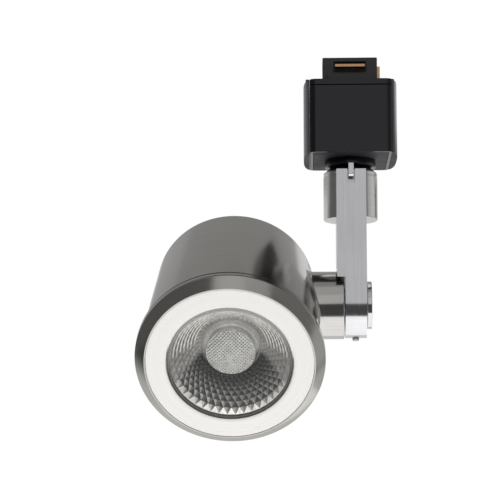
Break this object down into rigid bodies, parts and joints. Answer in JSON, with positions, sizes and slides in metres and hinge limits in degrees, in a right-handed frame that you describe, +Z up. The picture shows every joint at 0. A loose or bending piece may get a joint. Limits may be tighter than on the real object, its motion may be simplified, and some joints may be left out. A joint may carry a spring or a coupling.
{
  "type": "track spotlight",
  "caption": "Cylindrical LED spotlight head on a swivel arm that hangs from a black track adapter, turning about the vertical and tilting at a side pivot.",
  "frame": {"origin": "on the swivel axis, in the plane of the adapter's top face, which bears on the underside of the track", "axes": "+Z up into the track, +X along the track towards the side away from the head, -Y the way the light points at rest"},
  "size_m": [0.1017, 0.0895, 0.1544],
  "materials": {
    "black_gloss": "glossy moulded",
    "black_matte": "matte moulded",
    "nickel": "brushed nickel plate",
    "steel": "zinc plated",
    "aluminium": "bare",
    "copper": "bright copper alloy",
    "white_plastic": "matte moulded",
    "frosted": "frosted translucent acrylic",
    "clear": "clear moulded acrylic",
    "grey_plastic": "satin dark grey",
    "phosphor": "yellow phosphor coating",
    "circuit_board": "solder mask",
    "lead_black": "wire insulation",
    "lead_white": "wire insulation",
    "lead_green": "wire insulation"
  },
  "bodies": {
    "adapter": {"adapter_housing": "black_gloss", "adapter_base": "black_matte", "adapter_top_plate": "black_gloss", "track_neck": "black_matte", "contact_live": "copper", "contact_neutral": "copper", "contact_ground": "copper", "terminal_block": "white_plastic", "terminal_screw_1": "steel", "terminal_screw_2": "steel", "terminal_screw_3": "steel", "plate_screw_1": "steel", "plate_screw_2": "steel", "swivel_boss": "black_gloss", "swivel_washer": "black_matte", "stop_post": "steel", "threaded_nipple": "steel", "lock_washer": "steel", "nipple_nut": "steel", "retaining_nut": "steel"},
    "tab_left": {"lock_tab_left": "black_gloss", "tab_spring_left": "steel"},
    "tab_right": {"lock_tab_right": "black_gloss", "tab_spring_right": "steel"},
    "arm": {"collar": "nickel", "arm": "nickel", "arm_cover": "nickel", "stop_lug": "nickel", "pivot_cap": "nickel", "tension_screw": "steel", "friction_washer": "black_matte", "lead_live": "lead_black", "lead_neutral": "lead_white", "lead_ground": "lead_green"},
    "head": {"head_shell": "nickel", "front_trim": "nickel", "diffuser_ring": "frosted", "lens_rim": "grey_plastic", "lens_cover": "clear", "lens_optic": "clear", "centre_lens": "clear", "optic_holder": "white_plastic", "mixing_chamber": "white_plastic", "heat_spreader": "aluminium", "thermal_pad": "white_plastic", "led_board": "aluminium", "led_emitter": "phosphor", "board_screw_1": "steel", "board_screw_2": "steel", "driver_board": "circuit_board", "driver_capacitor": "black_matte", "driver_inductor": "copper", "driver_bridge": "black_matte", "pivot_bolt": "steel"}
  },
  "joints": [
    {"name": "tab_release_left", "type": "slide", "parent": "adapter", "child": "tab_left", "axis": [0, 0, -1], "range_m": [0, 0.003], "stiffness_N_per_m": 600, "springref_m": -0.002},
    {"name": "tab_release_right", "type": "slide", "parent": "adapter", "child": "tab_right", "axis": [0, 0, -1], "range_m": [0, 0.003], "stiffness_N_per_m": 600, "springref_m": -0.002},
    {"name": "swivel_pan", "type": "hinge", "parent": "adapter", "child": "arm", "pos_m": [0, 0, -0.0346], "axis": [0, 0, 1], "range_deg": [-170, 170]},
    {"name": "head_tilt", "type": "hinge", "parent": "arm", "child": "head", "pos_m": [0, 0, -0.088], "axis": [1, 0, 0], "range_deg": [-35, 55]}
  ]
}
